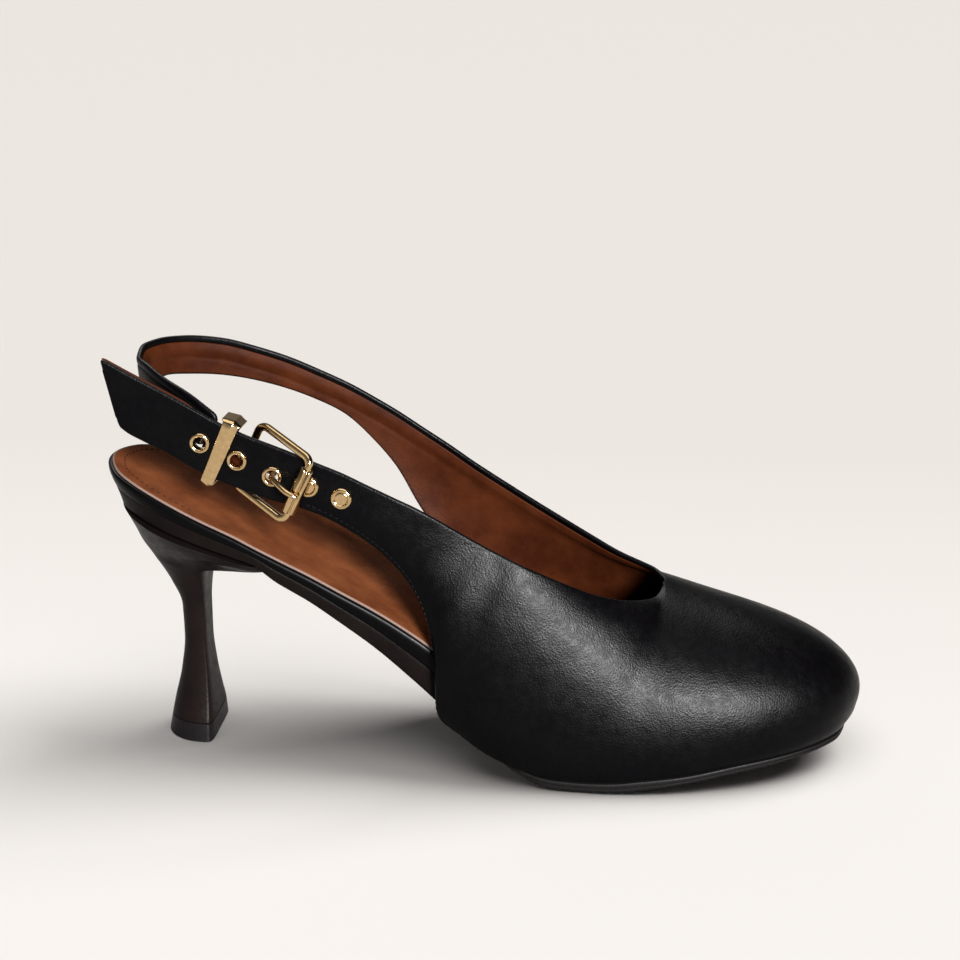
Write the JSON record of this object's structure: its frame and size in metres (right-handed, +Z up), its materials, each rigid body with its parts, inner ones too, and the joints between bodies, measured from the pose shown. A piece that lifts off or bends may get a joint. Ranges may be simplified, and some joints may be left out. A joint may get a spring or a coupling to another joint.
{
  "type": "slingback pump",
  "caption": "Right slingback pump in black leather with a tan lining, an ankle strap with a gold buckle and a flared spool heel.",
  "frame": {"origin": "centre of the heel tip's flat underside", "axes": "+X forward to the toe, +Y to the inner side of the foot, +Z up from the floor"},
  "size_m": [0.2225, 0.0745, 0.1219],
  "materials": {
    "black_leather": "smooth black leather, soft sheen",
    "tan_lining": "tan lining leather",
    "heel_cover": "dark brown-black wrapped leather",
    "black_rubber": "satin black",
    "polished_gold": "polished, warm"
  },
  "bodies": {
    "root": {"upper": "black_leather", "insole": "tan_lining", "footbed": "black_leather", "outsole": "black_rubber", "heel": "heel_cover", "heel_tip": "black_rubber", "eyelet_1": "polished_gold", "eyelet_2": "polished_gold", "eyelet_3": "polished_gold", "rivet_1": "polished_gold", "rivet_2": "polished_gold", "buckle_frame": "polished_gold", "buckle_roller": "polished_gold", "buckle_prong": "polished_gold", "keeper_loop": "polished_gold", "buckle_tab": "tan_lining"}
  },
  "joints": []
}
